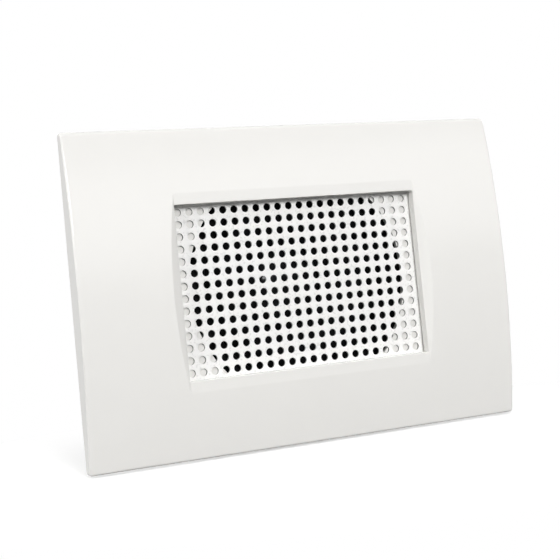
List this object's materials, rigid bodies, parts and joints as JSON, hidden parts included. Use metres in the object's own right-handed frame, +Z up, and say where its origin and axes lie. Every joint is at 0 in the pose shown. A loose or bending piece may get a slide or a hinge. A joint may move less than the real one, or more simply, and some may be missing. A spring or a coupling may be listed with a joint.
{
  "type": "in-wall speaker",
  "caption": "Wall-box speaker: a bowed white cover plate with a perforated grille over a small moving-coil driver on a screw-on frame.",
  "frame": {"origin": "where the speaker's axis meets the wall plane, midway between the two box screws", "axes": "+X along the plate, +Y into the wall, +Z up"},
  "size_m": [0.1186, 0.0383, 0.08],
  "materials": {
    "plate_plastic": "glossy moulded white plastic",
    "grille_paint": "white powder coat with a fine grain",
    "frame_plastic": "satin moulded white plastic",
    "foam": "dark closed-cell foam",
    "roll_rubber": "matt black rubber",
    "pressed_steel": "zinc-plated pressed sheet",
    "cone_paper": "black pressed paper",
    "cap_gloss": "glossy black dome",
    "former_foil": "plain foil",
    "copper": "enamelled or braided copper",
    "spider_cloth": "resin-treated woven cloth",
    "motor_steel": "zinc-plated turned steel",
    "ferrite": "ground dark ferrite",
    "board": "brown resin board",
    "rivet_metal": "plated rivet",
    "tag_metal": "tinned brass",
    "screw_steel": "zinc-plated steel"
  },
  "bodies": {
    "housing": {"cover_plate": "plate_plastic", "grille": "grille_paint", "support_frame": "frame_plastic", "front_gasket": "foam", "surround": "roll_rubber", "basket": "pressed_steel", "spider": "spider_cloth", "top_plate": "motor_steel", "magnet": "ferrite", "pole_yoke": "motor_steel", "terminal_board": "board", "terminal_rivet": "rivet_metal", "tag_rivets": "rivet_metal", "positive_tag": "tag_metal", "negative_tag": "tag_metal", "positive_lead": "copper", "negative_lead": "copper", "driver_screws": "screw_steel"},
    "cone": {"cone": "cone_paper", "dust_cap": "cap_gloss", "coil_former": "former_foil", "voice_coil": "copper"}
  },
  "joints": [
    {"name": "cone_travel", "type": "slide", "parent": "housing", "child": "cone", "axis": [0, 1, 0], "range_m": [-0.0015, 0.0015], "stiffness_N_per_m": 1000, "deforming": ["surround", "spider", "positive_lead", "negative_lead"]}
  ]
}
